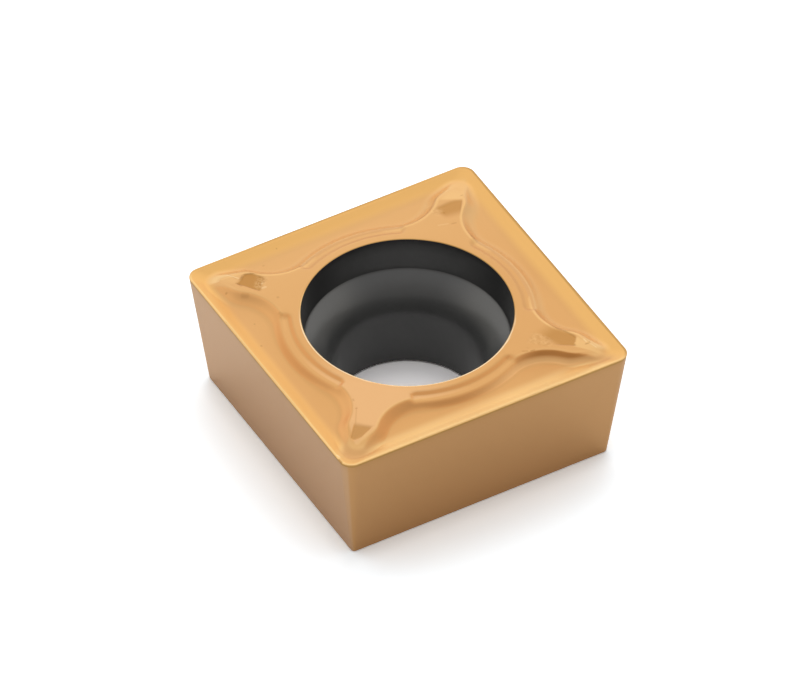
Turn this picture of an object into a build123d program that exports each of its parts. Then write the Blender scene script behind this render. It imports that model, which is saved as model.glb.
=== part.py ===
# Square indexable cutting insert of sintered carbide, with one chip-breaking face.
#
# It is pressed and sintered as one piece, so the whole object is one solid. It stands on its
# flat seat. The origin is the centre of the seat, on the screw hole's axis, and +Z is up.
# Sizes are in millimetres and angles in degrees.
#
# From the outside in: four relieved flanks, the cutting edge with its small hone and narrow
# land, a rake face that falls to a groove, and a star-shaped island that stands up round the
# screw hole, with an arm towards each cutting nose and a lower ledge along each side.

from build123d import *
from math import cos, radians, sin, sqrt, tan
import os

# Blank
EDGE_LENGTH = 9.525
EDGE_HEIGHT = 3.97
RELIEF_ANGLE = 7.0
NOSE_RADIUS = 0.40
FOOT_RADIUS = 0.12
HONE_RADIUS = 0.03

# Chip groove
LAND_WIDTH = 0.07
RAKE_ANGLE = 23.0
GROOVE_DEPTH = 0.18
GROOVE_RADIUS = 0.50

# Screw hole, from the seat up: a bore, a rounded rest for the screw's head, and a recess
BORE_RADIUS = 2.20
BORE_CHAMFER = 0.08
HEAD_REST_RADIUS = 1.30
HEAD_REST_SWEEP = 68.5
RECESS_DEPTH = 1.08
RECESS_DRAFT = 4.0

# Island
ISLAND_RISE = 0.10
COLLAR_WIDTH = 0.52
WALL_ANGLE = 43.0
WALL_FOOT_RADIUS = 0.15
ARM_SETBACK = 0.81
ARM_TIP_ANGLE = 58.0
ARM_TIP_RADIUS = 0.10
ARM_WIDTH = 0.86
ARM_SHOULDER_RADIUS = 0.60
ARM_SIDE_LENGTH = 0.12

# Ledge along each side of the island
LEDGE_RISE = 0.01
LEDGE_SETBACK = 0.24
LEDGE_STEP_ANGLE = 32.0
LEDGE_SPAN = 56.0

# Ramp down to the tip of each arm, and the dimple behind it
RAMP_LENGTH = 0.81
RAMP_ANGLE = 10.0
DIMPLE_SETBACK = 1.14
DIMPLE_RADIUS = 1.60
DIMPLE_DEPTH = 0.04

NODE = "insert_body"
SIDES = 4
CLEAR = 1.0
TOUCH = 0.001

half_edge = EDGE_LENGTH / 2
groove_floor = EDGE_HEIGHT - GROOVE_DEPTH
island_top = EDGE_HEIGHT + ISLAND_RISE
wall_run = (ISLAND_RISE + GROOVE_DEPTH) / tan(radians(WALL_ANGLE))

recess_floor = island_top - RECESS_DEPTH
recess_floor_radius = BORE_RADIUS + HEAD_REST_RADIUS * (1 - cos(radians(HEAD_REST_SWEEP)))
bore_top = recess_floor - HEAD_REST_RADIUS * sin(radians(HEAD_REST_SWEEP))
rim_radius = recess_floor_radius + RECESS_DEPTH * tan(radians(RECESS_DRAFT))

nose_reach = half_edge * sqrt(2) - NOSE_RADIUS * (sqrt(2) - 1)
arm_reach = nose_reach - ARM_SETBACK


def around(shape, first_turn):
    """Copies of a shape, one for each side or corner."""
    return [Rot(0, 0, first_turn + 360 / SIDES * side) * shape for side in range(SIDES)]


def rounded_square(half_size, corner_radius, height):
    """Square outline with round corners, lying at a height."""
    return Pos(0, 0, height) * RectangleRounded(2 * half_size, 2 * half_size, corner_radius)


def corner_waste(half_size, corner_radius, height):
    """Outline of what is taken off a corner to round it, open outwards, lying at a height."""
    tangent = half_size - corner_radius
    far = half_size + CLEAR
    sides = Polyline((half_size, tangent), (far, tangent), (far, far), (tangent, far), (tangent, half_size))
    arc = RadiusArc((tangent, half_size), (half_size, tangent), corner_radius)
    return Pos(0, 0, height) * make_face(Curve() + [sides, arc])


def blank():
    """Relieved block: flat flanks, and conical noses that sharpen towards the seat."""
    half_seat = half_edge - EDGE_HEIGHT * tan(radians(RELIEF_ANGLE))
    block = Box(EDGE_LENGTH, EDGE_LENGTH, EDGE_HEIGHT, align=(Align.CENTER, Align.CENTER, Align.MIN))
    plate = Box(EDGE_LENGTH, 2 * EDGE_LENGTH, 4 * EDGE_HEIGHT, align=(Align.MIN, Align.CENTER, Align.CENTER))
    for cut in around(Pos(half_edge, 0, EDGE_HEIGHT) * Rot(0, RELIEF_ANGLE, 0) * plate, 0):
        block -= cut
    foot = corner_waste(half_seat, FOOT_RADIUS, 0)
    edge = corner_waste(half_edge, NOSE_RADIUS, EDGE_HEIGHT)
    for cut in around(loft([foot, edge], ruled=True), 0):
        block -= cut
    return block


def rake_pocket():
    """Space above the rake faces, down to the floor of the groove."""
    rake_run = GROOVE_DEPTH / tan(radians(RAKE_ANGLE))
    half_mouth = half_edge - LAND_WIDTH
    mouth_radius = NOSE_RADIUS - LAND_WIDTH
    floor = rounded_square(half_mouth - rake_run, mouth_radius, groove_floor)
    mouth = rounded_square(half_mouth, mouth_radius, EDGE_HEIGHT)
    pocket = loft([floor, mouth], ruled=True)
    return fillet(pocket.faces().sort_by(Axis.Z)[0].edges(), GROOVE_RADIUS)


def is_cutting_edge(edge):
    """Whether an edge is on the outline of the land: along a side, or round a nose."""
    middle = edge @ 0.5
    nose_centre = half_edge - NOSE_RADIUS
    far, near = max(abs(middle.X), abs(middle.Y)), min(abs(middle.X), abs(middle.Y))
    on_side = abs(far - half_edge) < TOUCH
    from_nose_centre = sqrt((far - nose_centre) ** 2 + (near - nose_centre) ** 2)
    on_nose = near > nose_centre and abs(from_nose_centre - NOSE_RADIUS) < TOUCH
    return abs(middle.Z - EDGE_HEIGHT) < TOUCH and (on_side or on_nose)


def reach(vertex):
    """Distance of a vertex from the axis, rounded so that like corners share it."""
    return round(sqrt(vertex.X ** 2 + vertex.Y ** 2), 3)


def arm_sizes(spread):
    """Apex, shoulder and half width of an arm whose outline is pushed outwards by a spread."""
    half_tip = radians(ARM_TIP_ANGLE / 2)
    apex = arm_reach + spread / sin(half_tip)
    half_width = ARM_WIDTH / 2 + spread
    return apex, apex - half_width / tan(half_tip), half_width


def arm(spread):
    """Outline of one arm along +X: parallel sides and a blunt arrow tip."""
    apex, shoulder, half_width = arm_sizes(spread)
    corners = [(0, -half_width), (shoulder, -half_width), (apex, 0), (shoulder, half_width), (0, half_width)]
    outline = make_face(Polyline(corners, close=True))
    outline = fillet(outline.vertices().group_by(reach)[-1], ARM_TIP_RADIUS + spread)
    shoulders = outline.vertices().filter_by(lambda v: abs(v.X - shoulder) < TOUCH)
    return fillet(shoulders, ARM_SHOULDER_RADIUS + spread)


def root_radius(spread):
    """Radius of the arc that touches the collar and runs into the straight side of an arm."""
    collar_radius = rim_radius + COLLAR_WIDTH + spread
    apex, shoulder, half_width = arm_sizes(spread)
    shoulder_run = (ARM_SHOULDER_RADIUS + spread) * tan(radians(ARM_TIP_ANGLE / 4))
    arc_end = shoulder - shoulder_run - ARM_SIDE_LENGTH
    room = arc_end ** 2 - collar_radius ** 2 + half_width ** 2
    return room / (2 * (collar_radius - half_width))


def star(spread, height):
    """Outline of the island, pushed outwards by a spread, lying at a height."""
    outline = Circle(rim_radius + COLLAR_WIDTH + spread)
    for copy in around(arm(spread), 45):
        outline += copy
    outline = make_face(outline.face().outer_wire())
    roots = outline.vertices().group_by(reach)[0]
    return Pos(0, 0, height) * fillet(roots, root_radius(spread))


def island():
    """Star-shaped plateau with sloping walls, down to the floor of the groove."""
    return loft([star(wall_run, groove_floor), star(0, island_top)], ruled=True)


def is_island_foot(edge):
    """Whether an edge is where a wall of the island meets the groove, not the groove's own long edge."""
    return groove_floor - TOUCH < edge.center().Z < EDGE_HEIGHT - LAND_WIDTH and edge.length < half_edge


def ledges():
    """Space above the ledge of each side, bounded inwards by a cone that rises to the rim."""
    level = EDGE_HEIGHT + LEDGE_RISE
    slope = tan(radians(LEDGE_STEP_ANGLE))
    floor_radius = rim_radius + LEDGE_SETBACK + (ISLAND_RISE - LEDGE_RISE) / slope
    on_floor = (Align.CENTER, Align.CENTER, Align.MIN)
    cone = Cone(floor_radius, floor_radius - CLEAR / slope, CLEAR, align=on_floor)
    half_width = half_edge * tan(radians(LEDGE_SPAN / 2))
    sector = make_face(Polyline((0, 0), (half_edge, -half_width), (half_edge, half_width), close=True))
    return around(Pos(0, 0, level) * (extrude(sector, CLEAR) - cone), 0)


def arm_dimples():
    """Ball that presses a shallow dimple into the flat of each arm."""
    height = island_top + DIMPLE_RADIUS - DIMPLE_DEPTH
    return around(Pos(arm_reach - DIMPLE_SETBACK, 0, height) * Sphere(DIMPLE_RADIUS), 45)


def arm_ramps():
    """Space above the ramp of each arm, which runs on over the nose, so only the island is cut by it."""
    block = Box(2 * CLEAR, 2 * CLEAR, CLEAR, align=(Align.MIN, Align.CENTER, Align.MIN))
    return around(Pos(arm_reach - RAMP_LENGTH, 0, island_top) * Rot(0, RAMP_ANGLE, 0) * block, 45)


def screw_hole():
    """Space of the bore, the rounded rest for the screw's head, and the recess above it."""
    rest = JernArc((BORE_RADIUS, bore_top), (0, 1), HEAD_REST_RADIUS, -HEAD_REST_SWEEP)
    mouth = (rim_radius + CLEAR * tan(radians(RECESS_DRAFT)), island_top + CLEAR)
    sides = Polyline(
        mouth, (0, island_top + CLEAR), (0, -CLEAR), (BORE_RADIUS + BORE_CHAMFER + CLEAR, -CLEAR),
        (BORE_RADIUS, BORE_CHAMFER), (BORE_RADIUS, bore_top),
    )
    profile = make_face(Curve() + [sides, rest, Line(rest @ 1, mouth)])
    return revolve(Plane.XZ * profile, Axis.Z)


raised = island()
for cut in arm_ramps():
    raised -= cut

body = blank() - rake_pocket()
body = fillet(body.edges().filter_by(is_cutting_edge), HONE_RADIUS)
body += raised
body = fillet(body.edges().filter_by(is_island_foot), WALL_FOOT_RADIUS)
for cut in ledges() + arm_dimples():
    body -= cut
body -= screw_hole()
body.label = NODE

os.makedirs("parts", exist_ok=True)
export_step(body, f"parts/{NODE}.step")
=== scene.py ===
import math
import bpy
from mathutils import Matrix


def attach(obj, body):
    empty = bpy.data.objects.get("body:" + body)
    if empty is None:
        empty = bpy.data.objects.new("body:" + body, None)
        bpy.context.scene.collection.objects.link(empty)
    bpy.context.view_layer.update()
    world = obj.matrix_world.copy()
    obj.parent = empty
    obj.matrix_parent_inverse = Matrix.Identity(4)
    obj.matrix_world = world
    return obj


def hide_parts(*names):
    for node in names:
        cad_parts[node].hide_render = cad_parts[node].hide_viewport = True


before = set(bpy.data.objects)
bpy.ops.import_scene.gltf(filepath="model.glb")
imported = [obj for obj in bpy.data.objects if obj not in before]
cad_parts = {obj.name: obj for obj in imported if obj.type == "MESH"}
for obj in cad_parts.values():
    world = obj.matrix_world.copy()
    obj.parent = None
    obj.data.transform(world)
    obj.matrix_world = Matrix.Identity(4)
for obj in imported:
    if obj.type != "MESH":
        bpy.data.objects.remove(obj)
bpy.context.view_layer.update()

from types import SimpleNamespace

import bpy
import numpy as np
from mathutils import Vector

# Square carbide cutting insert, seen from above one nose. The whole outside is one closed
# mesh: rings of points run round the screw hole, and step outwards over the island, the
# groove, the cutting edge and the flanks, and back through the hole.
# Sizes are in millimetres and angles in degrees. The mesh is made in metres, and the size of
# the floor, the lamps and the camera are given in metres.

MM = 0.001

# Blank
EDGE_LENGTH = 9.525
EDGE_HEIGHT = 3.97
RELIEF_ANGLE = 7.0
NOSE_RADIUS = 0.40
FOOT_RADIUS = 0.12
HONE_RADIUS = 0.03
SEAT_ROUND = 0.03
LEAST_CORNER = 0.02

# Chip groove
LAND_WIDTH = 0.07
LAND_SOFTNESS = 0.006
RAKE_ANGLE = 23.0
GROOVE_DEPTH = 0.18
GROOVE_SOFTNESS = 0.085

# Screw hole
BORE_RADIUS = 2.20
BORE_CHAMFER = 0.08
HEAD_REST_RADIUS = 1.30
HEAD_REST_SWEEP = 68.5
RECESS_DEPTH = 1.08
RECESS_DRAFT = 4.0
RIM_ROUND = 0.035

# Island
ISLAND_RISE = 0.10
COLLAR_WIDTH = 0.52
WALL_ANGLE = 43.0
ARM_SETBACK = 0.81
ARM_TIP_ANGLE = 58.0
ARM_TIP_RADIUS = 0.10
ARM_WIDTH = 0.86
ARM_SHOULDER_RADIUS = 0.60
ARM_SIDE_LENGTH = 0.12

# Ledge along each side of the island, whose ends rise out of the way
LEDGE_RISE = 0.01
LEDGE_SETBACK = 0.24
LEDGE_STEP_ANGLE = 32.0
LEDGE_SPAN = 56.0
LEDGE_END_SOFTNESS = 1.6
LEDGE_END_RISE = 0.02

# Ramp at the end of each arm, which curves down towards the tip, and the pressed pockets
RAMP_LENGTH = 0.81
RAMP_ANGLE = 10.0
RAMP_SOFTNESS = 0.03
TIP_CURVE = 0.25
TIP_CURVE_START = 5.3
POCKET_DEPTH = 0.028

# Rounding of the island's wall, as heights: in general, where it is worn on the left side, and
# where it faces the back
BACK = (0.5, 0.866)
TOP_PLAIN, TOP_WORN, TOP_BACK = 0.045, 0.08, 0.025
FOOT_PLAIN, FOOT_WORN, FOOT_BACK = 0.07, 0.19, 0.16
LEDGE_PLAIN, LEDGE_BACK = 0.02, 0.045
FOOT_AT_TIP = 0.06
FOOT_TIP_ALONG = (4.9, 5.8)
LEDGE_BLEND, LEDGE_BLEND_SHARE = 0.02, 0.5
WALL_REACH = 0.45

# Which stretches of the wall face the back, and which are worn: by direction and place
BACK_BY_PLACE = 0.35
BACK_BLEND = (-0.04, 0.08)
WORN_BY_TURN = 0.7
WORN_BLEND = (0.15, 0.9)
WORN_ALONG = (3.0, 4.0)

# Points in each eighth of a ring, between the middle of a side and a nose. They are closer
# together towards the nose, where the outlines turn most
EIGHTH = 72
CROWDING = 0.16

# Points on the stretches of the island's outline, before they are spread out again
ROOT_POINTS, SIDE_POINTS, SLOPE_POINTS, TIP_POINTS = 240, 12, 80, 60

half_edge = EDGE_LENGTH / 2
half_seat = half_edge - EDGE_HEIGHT * math.tan(math.radians(RELIEF_ANGLE))
groove_floor = EDGE_HEIGHT - GROOVE_DEPTH
island_top = EDGE_HEIGHT + ISLAND_RISE
wall_run = (ISLAND_RISE + GROOVE_DEPTH) / math.tan(math.radians(WALL_ANGLE))
rest_sweep = math.radians(HEAD_REST_SWEEP)
recess_floor = island_top - RECESS_DEPTH
recess_floor_radius = BORE_RADIUS + HEAD_REST_RADIUS * (1 - math.cos(rest_sweep))
bore_top = recess_floor - HEAD_REST_RADIUS * math.sin(rest_sweep)
rim_radius = recess_floor_radius + RECESS_DEPTH * math.tan(math.radians(RECESS_DRAFT))
collar_radius = rim_radius + COLLAR_WIDTH
nose_centre = half_edge - NOSE_RADIUS
nose_reach = half_edge * math.sqrt(2) - NOSE_RADIUS * (math.sqrt(2) - 1)
arm_reach = nose_reach - ARM_SETBACK
half_arm = ARM_WIDTH / 2
half_tip = math.radians(ARM_TIP_ANGLE / 2)
shoulder = arm_reach - half_arm / math.tan(half_tip)


# Values that blend

def between(a, b, t):
    """A value on the way from one to another: the first at 0, the second at 1."""
    return a * (1 - t) + b * t


def ease(x, low, high):
    """Smooth step: 0 at the first value and 1 at the second."""
    t = np.clip((x - low) / (high - low), 0, 1)
    return t * t * (3 - 2 * t)


def strip(x, start, full, fading, end):
    """Smooth strip: 0 outside the first and last value, and 1 between the two middle ones."""
    return ease(x, start, full) * ease(x, end, fading)


def smooth_max(a, b, width):
    """The larger of two heights, with a rounded inner corner."""
    gap = np.clip(1 - np.abs(a - b) / width, 0, 1)
    return np.maximum(a, b) + gap * gap * width / 4


def smooth_min(a, b, width):
    """The smaller of two heights, with a rounded outer corner."""
    return -smooth_max(-a, -b, width)


# Outlines

def arc_points(centre, radius, start, end, count):
    """Points along an arc, from one angle to another."""
    angles = np.linspace(start, end, count)
    return np.stack([centre[0] + radius * np.cos(angles), centre[1] + radius * np.sin(angles)], 1)


def star_eighth():
    """Outline of the island over an eighth, in the arm's frame (arm along +X): from the
    middle of the side, at 45 degrees, to the arm's tip."""
    run = ARM_SHOULDER_RADIUS * math.tan(half_tip / 2)
    arc_end = shoulder - run - ARM_SIDE_LENGTH
    root = (arc_end ** 2 - collar_radius ** 2 + half_arm ** 2) / (2 * (collar_radius - half_arm))
    root_centre = (arc_end, half_arm + root)
    touch = math.atan2(root_centre[1], root_centre[0])
    collar = arc_points((0, 0), collar_radius, math.radians(45), touch, ROOT_POINTS)
    fillet = arc_points(root_centre, root, touch - math.pi, -math.pi / 2, ROOT_POINTS)
    side_end = shoulder - run
    bend_centre = (side_end, half_arm - ARM_SHOULDER_RADIUS)
    upright = math.pi / 2
    bend = arc_points(bend_centre, ARM_SHOULDER_RADIUS, upright, upright - half_tip, SLOPE_POINTS)
    tip_centre = (arm_reach - ARM_TIP_RADIUS / math.sin(half_tip), 0)
    tip = arc_points(tip_centre, ARM_TIP_RADIUS, upright - half_tip, 0, TIP_POINTS)
    straight = np.linspace((arc_end, half_arm), (side_end, half_arm), SIDE_POINTS)[1:-1]
    slope = np.linspace(bend[-1], tip[0], SLOPE_POINTS)[1:-1]
    return np.concatenate([collar, fillet[1:], straight, bend, slope, tip])


def turned(points, angle):
    """Points turned about the hole's axis."""
    c, s = math.cos(angle), math.sin(angle)
    return np.stack([c * points[:, 0] - s * points[:, 1], s * points[:, 0] + c * points[:, 1]], 1)


def spread_along(line, shares):
    """Points on a line of points, at shares of its length."""
    steps = np.linalg.norm(np.diff(line, axis=0), axis=1)
    lengths = np.concatenate([[0.0], np.cumsum(steps)])
    places = shares * lengths[-1]
    return np.stack([np.interp(places, lengths, line[:, 0]), np.interp(places, lengths, line[:, 1])], 1)


def wall_direction(outline):
    """Plan direction straight out from the island's wall, at each point of an eighth."""
    step = np.gradient(outline, axis=0)
    outwards = np.stack([step[:, 1], -step[:, 0]], 1)
    outwards /= np.linalg.norm(outwards, axis=1)[:, None]
    outwards[0] = (1, 0)
    outwards[-1] = (math.cos(math.radians(45)), math.sin(math.radians(45)))
    return outwards


share = np.linspace(0, 1, EIGHTH + 1)
share = share + CROWDING * np.sin(math.pi * share) * share ** 0.5
share = np.clip(share / share[-1], 0, 1)

# The side's frame has the side's middle along +X; an arm's frame is turned 45 degrees from it.
# Distances to the outline are measured to a line with a third of its points
star_arm = star_eighth()
star_line = np.concatenate([star_arm[:-1:3], star_arm[-1:]])
star_side = turned(spread_along(star_arm, share), math.radians(-45)) * np.array([1, -1])
wall_out = wall_direction(star_side)
wall_foot = star_side + wall_out * wall_run

# Points on the rim: level with the star's points over the ledge, and fanned out beyond it
PAST_LEDGE = 2.0
polar = np.arctan2(star_side[:, 1], star_side[:, 0])
fan_from = math.radians(LEDGE_SPAN / 2 + PAST_LEDGE)
fan_share = np.interp(fan_from, polar, share)
fanned = fan_from + (math.pi / 4 - fan_from) * (share - fan_share) / (1 - fan_share)
rim_angle = np.where(share <= fan_share, polar, fanned)


def square_eighth(half_size, corner_radius):
    """Points of a rounded square over an eighth, from the side's middle to the nose. The
    straight part and the arc share out the same fractions at every size."""
    cut = nose_centre / (nose_centre + NOSE_RADIUS * math.pi / 4)
    centre = half_size - corner_radius
    along = np.clip(share / cut, 0, 1) * centre
    turn = np.clip((share - cut) / (1 - cut), 0, 1) * math.pi / 4
    x = np.where(share <= cut, half_size, centre + corner_radius * np.cos(turn))
    y = np.where(share <= cut, along, centre + corner_radius * np.sin(turn))
    return np.stack([x, y], 1)


def circle_eighth(radius):
    """Points of a circle over an eighth, fanned out like the star's points."""
    return np.stack([radius * np.cos(rim_angle), radius * np.sin(rim_angle)], 1)


def all_round(eighth):
    """A ring of points from the points of one eighth."""
    mirrored = eighth[::-1] * np.array([1, -1])
    side = np.concatenate([mirrored, eighth[1:]])[:-1]
    return np.concatenate([turned(side, math.radians(90 * k)) for k in range(4)])


# Distances and directions on the plan

def distance_to_line(x, y, line):
    """Distance to a line of points, positive on its left side."""
    best = np.full(x.shape, np.inf)
    sign = np.ones(x.shape)
    for start, end in zip(line[:-1], line[1:]):
        dx, dy = end - start
        t = np.clip(((x - start[0]) * dx + (y - start[1]) * dy) / (dx * dx + dy * dy), 0, 1)
        ox, oy = x - start[0] - t * dx, y - start[1] - t * dy
        d = np.hypot(ox, oy)
        nearer = d < best
        best = np.where(nearer, d, best)
        sign = np.where(nearer, np.sign(dx * oy - dy * ox), sign)
    return best * np.where(sign == 0, 1, sign)


def nearest_arm(x, y):
    """Distance along the nearest arm from the hole's axis, and away from the arm's middle."""
    folded = np.abs(np.arctan2(y, x) % (math.pi / 2) - math.pi / 4)
    reach = np.hypot(x, y)
    return reach * np.cos(folded), reach * np.sin(folded)


def rake_distance(x, y):
    """Distance in from the land's inner outline, measured so that the rake keeps one
    corner radius all the way down."""
    far = np.maximum(np.abs(x), np.abs(y))
    near = np.minimum(np.abs(x), np.abs(y))
    mouth = half_edge - LAND_WIDTH
    radius = NOSE_RADIUS - LAND_WIDTH
    gap = far - near
    root = np.sqrt(np.maximum(2 * radius ** 2 - gap ** 2, 0))
    corner = mouth - radius - (far + near - root) / 2
    return np.where(gap >= radius, mouth - far, corner)


def corner_turn(corner):
    """Cosine and sine of the direction of one corner (0 to 3, from +X+Y round)."""
    angle = math.radians(45 + 90 * corner)
    return math.cos(angle), math.sin(angle)


def arm_frame(x, y, corner):
    """Coordinates along and across the arm of one corner."""
    c, s = corner_turn(corner)
    return c * x + s * y, -s * x + c * y


def arm_point(corner, along, across):
    """Plan position of a point given along and across an arm."""
    c, s = corner_turn(corner)
    return c * along - s * across, s * along + c * across


def inside_edges(along, across, corners):
    """How far inside a convex polygon a point is, from 0 to 1. Each corner is given with the
    width over which the edge that starts there fades; the corners run anticlockwise."""
    mask = np.ones(along.shape)
    for (a, b, width), (next_a, next_b, _) in zip(corners, corners[1:] + corners[:1]):
        length = math.hypot(next_a - a, next_b - b)
        depth = ((next_a - a) * (across - b) - (next_b - b) * (along - a)) / length
        mask = mask * ease(depth, -width / 2, width / 2)
    return mask


def towards_back(x, y):
    """Cosine of the angle between the back and the direction of a point from the axis."""
    return (x * BACK[0] + y * BACK[1]) / np.hypot(x, y)


def back_share(x, y, facing):
    """How far a stretch of the island's wall belongs to the back of the part, from 0 to 1."""
    turned_back = facing[:, 0] * BACK[0] + facing[:, 1] * BACK[1]
    lies_back = (x * BACK[0] + y * BACK[1]) / half_edge
    return ease(turned_back + BACK_BY_PLACE * lies_back, *BACK_BLEND)


def worn_share(x, along_arm, facing):
    """How far a stretch of the island's wall is worn soft, from 0 to 1: on the left arms."""
    to_left = -WORN_BY_TURN * facing[:, 0] - x / half_edge
    return ease(to_left, *WORN_BLEND) * ease(along_arm, *WORN_ALONG)


def top_places(x, y, facing):
    """What the heights and the tints of the top face depend on, at plan positions. Facing is
    the plan direction of the nearest stretch of the island's wall. Outside is the distance
    outside the island's outline, negative on the island."""
    along_arm, off_arm = nearest_arm(x, y)
    return SimpleNamespace(
        x=x, y=y, radius=np.hypot(x, y), faces_y=facing[:, 1], along_arm=along_arm,
        outside=distance_to_line(along_arm, off_arm, star_line), inside_land=rake_distance(x, y),
        back=back_share(x, y, facing), worn=worn_share(x, along_arm, facing))


# The arms, by corner: top, left, front and right in the picture
T_ARM, L_ARM, F_ARM, R_ARM = 0, 1, 2, 3
ARM_GROUND = 3.2

# Shallow pocket pressed into each arm: corners along and across the arm, and the width over
# which each edge fades
POCKETS = {
    T_ARM: [(4.20, 0.02, 0.40), (4.50, -0.38, 0.04), (5.06, -0.28, 0.09), (4.93, -0.02, 0.12),
            (4.49, 0.36, 0.20)],
    L_ARM: [(4.41, -0.31, 0.05), (4.77, -0.41, 0.03), (5.01, -0.33, 0.04), (5.09, 0.13, 0.07),
            (4.37, 0.26, 0.10)],
    F_ARM: [(4.95, -0.24, 0.04), (5.44, -0.22, 0.06), (5.50, -0.10, 0.08), (5.38, 0.06, 0.07),
            (4.93, 0.28, 0.14)],
    R_ARM: [(3.95, 0.08, 0.30), (4.55, -0.22, 0.07), (5.04, -0.09, 0.03), (4.98, 0.27, 0.05),
            (4.27, 0.58, 0.55)],
}
POCKET_SHARE = {T_ARM: 0.78, L_ARM: 1.0, F_ARM: 0.72, R_ARM: 0.85}

# Rubbed, brighter ground between each pocket and the arm's tip, given the same way
RUBBED = {
    T_ARM: [(4.86, 0.40, 0.12), (4.97, 0.02, 0.12), (5.12, -0.30, 0.08), (6.12, -0.14, 0.40),
            (6.02, 0.14, 0.40)],
    L_ARM: [(5.10, -0.28, 0.14), (5.60, -0.12, 0.20), (5.60, 0.06, 0.20), (5.18, 0.10, 0.14)],
    F_ARM: [(4.98, 0.28, 0.08), (5.40, 0.06, 0.10), (5.66, -0.04, 0.20), (5.40, 0.24, 0.12)],
    R_ARM: [(5.02, -0.14, 0.08), (5.86, -0.06, 0.24), (5.78, 0.12, 0.20), (4.99, 0.30, 0.05)],
}
RUBBED_SHARE = {T_ARM: 0.85, L_ARM: 0.35, F_ARM: 0.6, R_ARM: 0.8}

# Strength of the painted highlight along the edge of each arm: on its right side, then on its left
RIDGE_HIGHLIGHTS = {T_ARM: (0.75, 0.7), L_ARM: (0.8, 0.2), F_ARM: (0.1, 0.4), R_ARM: (0.25, 0.9)}

# Speckled ground beside the pockets: arm, strength, and corners of the area as above
SPECKLED = [
    (L_ARM, 0.42, [(4.28, -0.34, 0.10), (4.62, -0.36, 0.10), (4.58, 0.14, 0.14), (4.36, 0.22, 0.14)]),
    (R_ARM, 0.26, [(3.70, -0.34, 0.16), (4.36, -0.36, 0.10), (4.40, 0.02, 0.14), (3.74, 0.12, 0.20)]),
    (T_ARM, 0.22, [(4.18, 0.20, 0.10), (4.56, 0.10, 0.14), (4.52, 0.40, 0.12), (4.22, 0.42, 0.12)]),
]

# Small lumps and pits of the pressed face: arm, along, across, radius, rise
LUMPS = [
    (R_ARM, 3.82, -0.20, 0.07, 0.008), (R_ARM, 3.96, -0.07, 0.06, -0.007), (R_ARM, 4.07, -0.26, 0.09, 0.011),
    (R_ARM, 4.19, -0.16, 0.06, -0.008), (R_ARM, 4.32, -0.24, 0.08, 0.010), (R_ARM, 3.88, 0.08, 0.06, -0.006),
    (R_ARM, 3.76, -0.60, 0.07, -0.010), (R_ARM, 3.90, -0.61, 0.06, 0.008), (R_ARM, 5.36, 0.09, 0.04, -0.010),
    (T_ARM, 4.33, 0.24, 0.05, -0.009), (T_ARM, 4.42, 0.14, 0.05, 0.008), (T_ARM, 3.98, -0.29, 0.06, -0.008),
    (T_ARM, 3.55, -0.90, 0.06, -0.008), (L_ARM, 4.56, -0.16, 0.05, 0.009), (L_ARM, 4.44, -0.14, 0.05, -0.008),
    (L_ARM, 4.46, -0.03, 0.05, 0.008), (F_ARM, 4.29, -0.38, 0.05, -0.012),
]


# Heights of the top face

def ledge_height(at, softness):
    """Height of the ledge of each side, with the step up to the collar."""
    level = EDGE_HEIGHT + LEDGE_RISE
    slope = math.tan(math.radians(LEDGE_STEP_ANGLE))
    floor_radius = rim_radius + LEDGE_SETBACK + (ISLAND_RISE - LEDGE_RISE) / slope
    ledge = smooth_max(level, level + (floor_radius - at.radius) * slope, softness)
    from_side = np.abs((np.degrees(np.arctan2(at.y, at.x)) + 45) % 90 - 45)
    ends = ease(from_side, LEDGE_SPAN / 2 - LEDGE_END_SOFTNESS, LEDGE_SPAN / 2 + LEDGE_END_SOFTNESS)
    return ledge + ends * (island_top + LEDGE_END_RISE - level)


def land_height(inside_land):
    """Height of the land, the rake face and the floor of the groove."""
    rake = EDGE_HEIGHT - math.tan(math.radians(RAKE_ANGLE)) * inside_land
    groove = smooth_max(rake, groove_floor, GROOVE_SOFTNESS)
    return smooth_min(EDGE_HEIGHT, groove, LAND_SOFTNESS)


def island_height(at):
    """Height of the island, its wall and the ramps of its arms."""
    softness = between(between(TOP_PLAIN, TOP_WORN, at.worn), TOP_BACK, at.back)
    wall = island_top - math.tan(math.radians(WALL_ANGLE)) * at.outside
    ramp_run = at.along_arm - (arm_reach - RAMP_LENGTH)
    ramp = island_top - math.tan(math.radians(RAMP_ANGLE)) * ramp_run
    ramp = ramp - TIP_CURVE * np.maximum(at.along_arm - TIP_CURVE_START, 0) ** 2
    return smooth_min(smooth_min(island_top, wall, softness), ramp, RAMP_SOFTNESS)


def pocket_mask(along, across, corner):
    """How far a point lies in the pocket of an arm, from 0 to 1."""
    return np.where(along > ARM_GROUND, inside_edges(along, across, POCKETS[corner]), 0)


def top_height(at):
    """Height of the top face, with the pockets and the lumps of its arms."""
    foot_softness = between(between(FOOT_PLAIN, FOOT_WORN, at.worn), FOOT_BACK, at.back)
    foot_softness = foot_softness + FOOT_AT_TIP * ease(at.along_arm, *FOOT_TIP_ALONG)
    land = land_height(at.inside_land)
    height = smooth_max(island_height(at), land, foot_softness)
    height = np.where(at.outside > WALL_REACH, land, height)
    ledge_softness = between(LEDGE_PLAIN, LEDGE_BACK, at.back)
    ledge = ledge_height(at, ledge_softness)
    height = smooth_min(height, ledge, LEDGE_BLEND + LEDGE_BLEND_SHARE * ledge_softness)
    for corner in POCKETS:
        height = height - POCKET_DEPTH * pocket_mask(*arm_frame(at.x, at.y, corner), corner)
    for corner, lump_along, lump_across, radius, rise in LUMPS:
        along, across = arm_frame(at.x, at.y, corner)
        away = np.hypot(along - lump_along, across - lump_across) / radius
        height = height + rise * np.exp(-away * away * 2)
    return np.minimum(height, island_top)


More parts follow.
